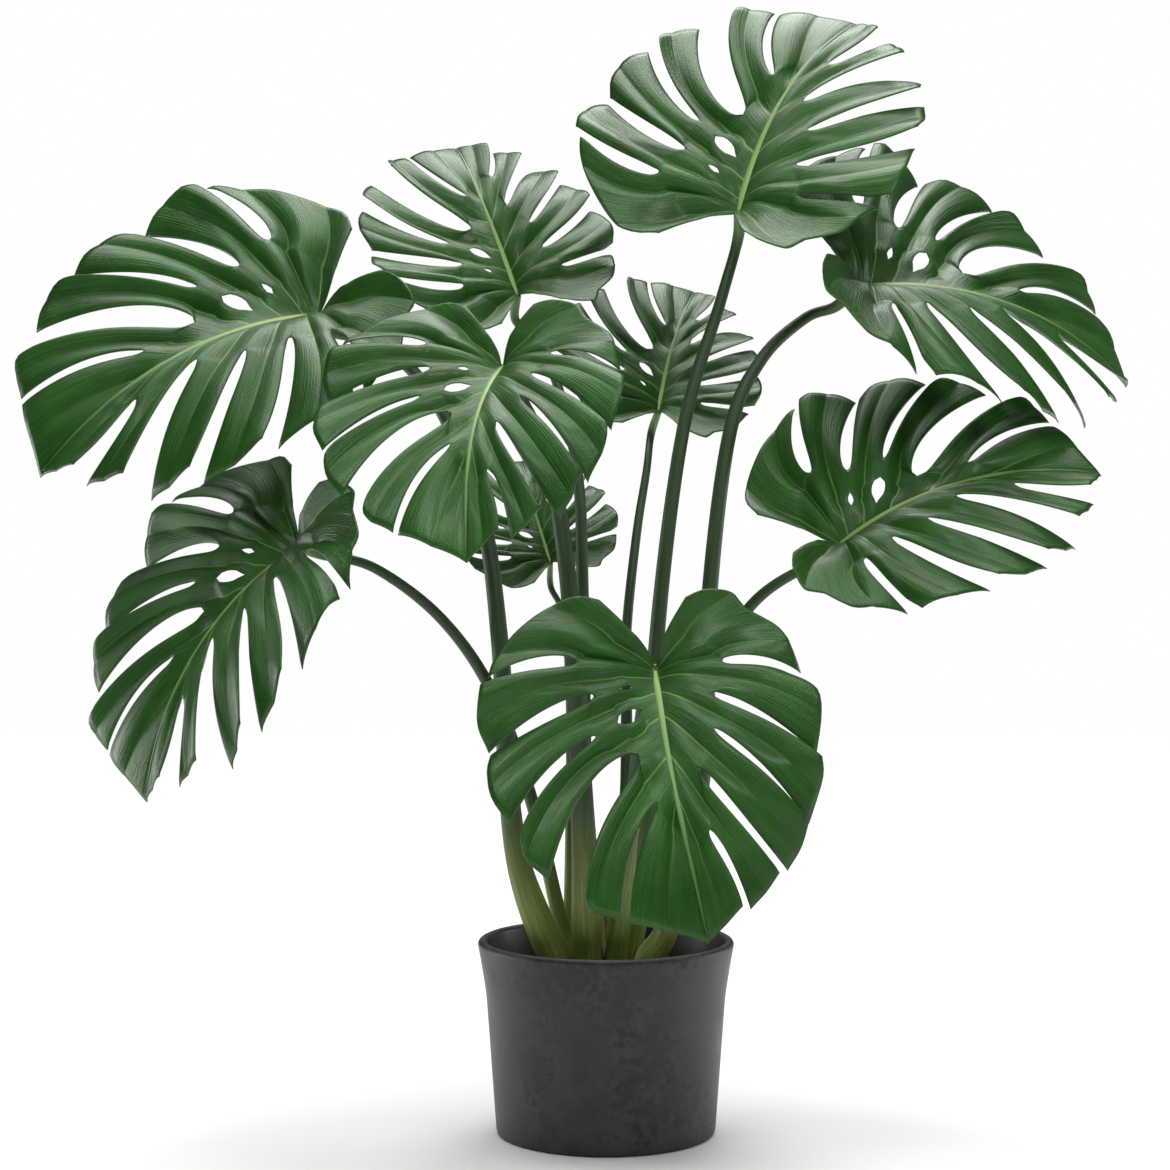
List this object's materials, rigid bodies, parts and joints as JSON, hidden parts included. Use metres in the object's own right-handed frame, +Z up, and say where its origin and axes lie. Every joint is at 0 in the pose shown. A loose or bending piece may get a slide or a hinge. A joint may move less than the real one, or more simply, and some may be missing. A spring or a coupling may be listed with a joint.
{
  "type": "potted monstera plant",
  "caption": "Swiss cheese plant with split, holed leaves on tall stalks, growing in a round tapered charcoal planter with a rolled rim.",
  "frame": {"origin": "centre of the planter's flat underside, on the surface it stands on", "axes": "+Z up, -Y out of the plant's front, which most leaf faces look towards, +X to the right seen from the front"},
  "size_m": [1.1295, 0.6037, 1.1516],
  "materials": {
    "planter": "matte",
    "potting_mix": "matte",
    "petiole": "satin",
    "leaf_blade": "satin"
  },
  "bodies": {
    "root": {"pot": "planter", "soil": "potting_mix", "petiole_top": "petiole", "petiole_upper_right": "petiole", "petiole_right": "petiole", "petiole_front": "petiole", "petiole_middle": "petiole", "petiole_upper_left": "petiole", "petiole_left": "petiole", "petiole_lower_left": "petiole", "petiole_back": "petiole", "petiole_low_back": "petiole", "leaf_top": "leaf_blade", "leaf_upper_right": "leaf_blade", "leaf_right": "leaf_blade", "leaf_front": "leaf_blade", "leaf_middle": "leaf_blade", "leaf_upper_left": "leaf_blade", "leaf_left": "leaf_blade", "leaf_lower_left": "leaf_blade", "leaf_back": "leaf_blade", "leaf_low_back": "leaf_blade"}
  },
  "joints": []
}
